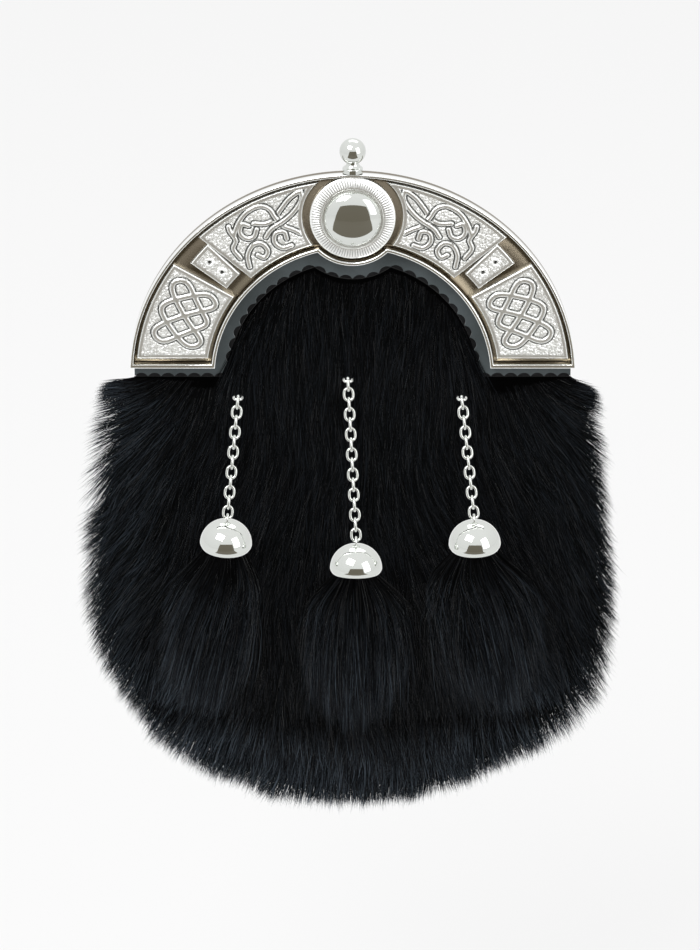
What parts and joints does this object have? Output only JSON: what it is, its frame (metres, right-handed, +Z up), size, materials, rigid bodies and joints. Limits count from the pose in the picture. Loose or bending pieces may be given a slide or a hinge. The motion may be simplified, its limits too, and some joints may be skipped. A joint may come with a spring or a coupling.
{
  "type": "sporran pouch",
  "caption": "Fur-fronted leather pouch with a cast metal arch, boss and ball knob, three chain-hung fur tassels, and belt loops behind; worn at the waist.",
  "frame": {"origin": "on the rear face of the back panel, midway between the two waist strap loops", "axes": "+X to the viewer's right, +Y back towards the wearer, +Z up; the front faces -Y"},
  "size_m": [0.1938, 0.0711, 0.275],
  "materials": {
    "cast_silver": "bright cast metal, polished rims over a stippled ground",
    "polished_silver": "mirror polished plate",
    "edging_leather": "dark slate leather with a fine grain and a pinked edge",
    "black_leather": "black leather with a fine grain",
    "black_fur": "dense black fur with a soft bluish sheen"
  },
  "bodies": {
    "root": {"cantle": "cast_silver", "boss": "polished_silver", "knob": "polished_silver", "cantle_leather": "edging_leather", "front_board": "black_leather", "gusset": "black_leather", "back_panel": "black_leather", "belt_loop_left": "black_leather", "belt_loop_right": "black_leather", "fur_front": "black_fur", "staple_left": "polished_silver", "staple_middle": "polished_silver", "staple_right": "polished_silver", "chain_left": "polished_silver", "chain_middle": "polished_silver", "chain_right": "polished_silver", "tassel_cap_left": "polished_silver", "tassel_cap_middle": "polished_silver", "tassel_cap_right": "polished_silver", "tassel_fur_left": "black_fur", "tassel_fur_middle": "black_fur", "tassel_fur_right": "black_fur"}
  },
  "joints": []
}
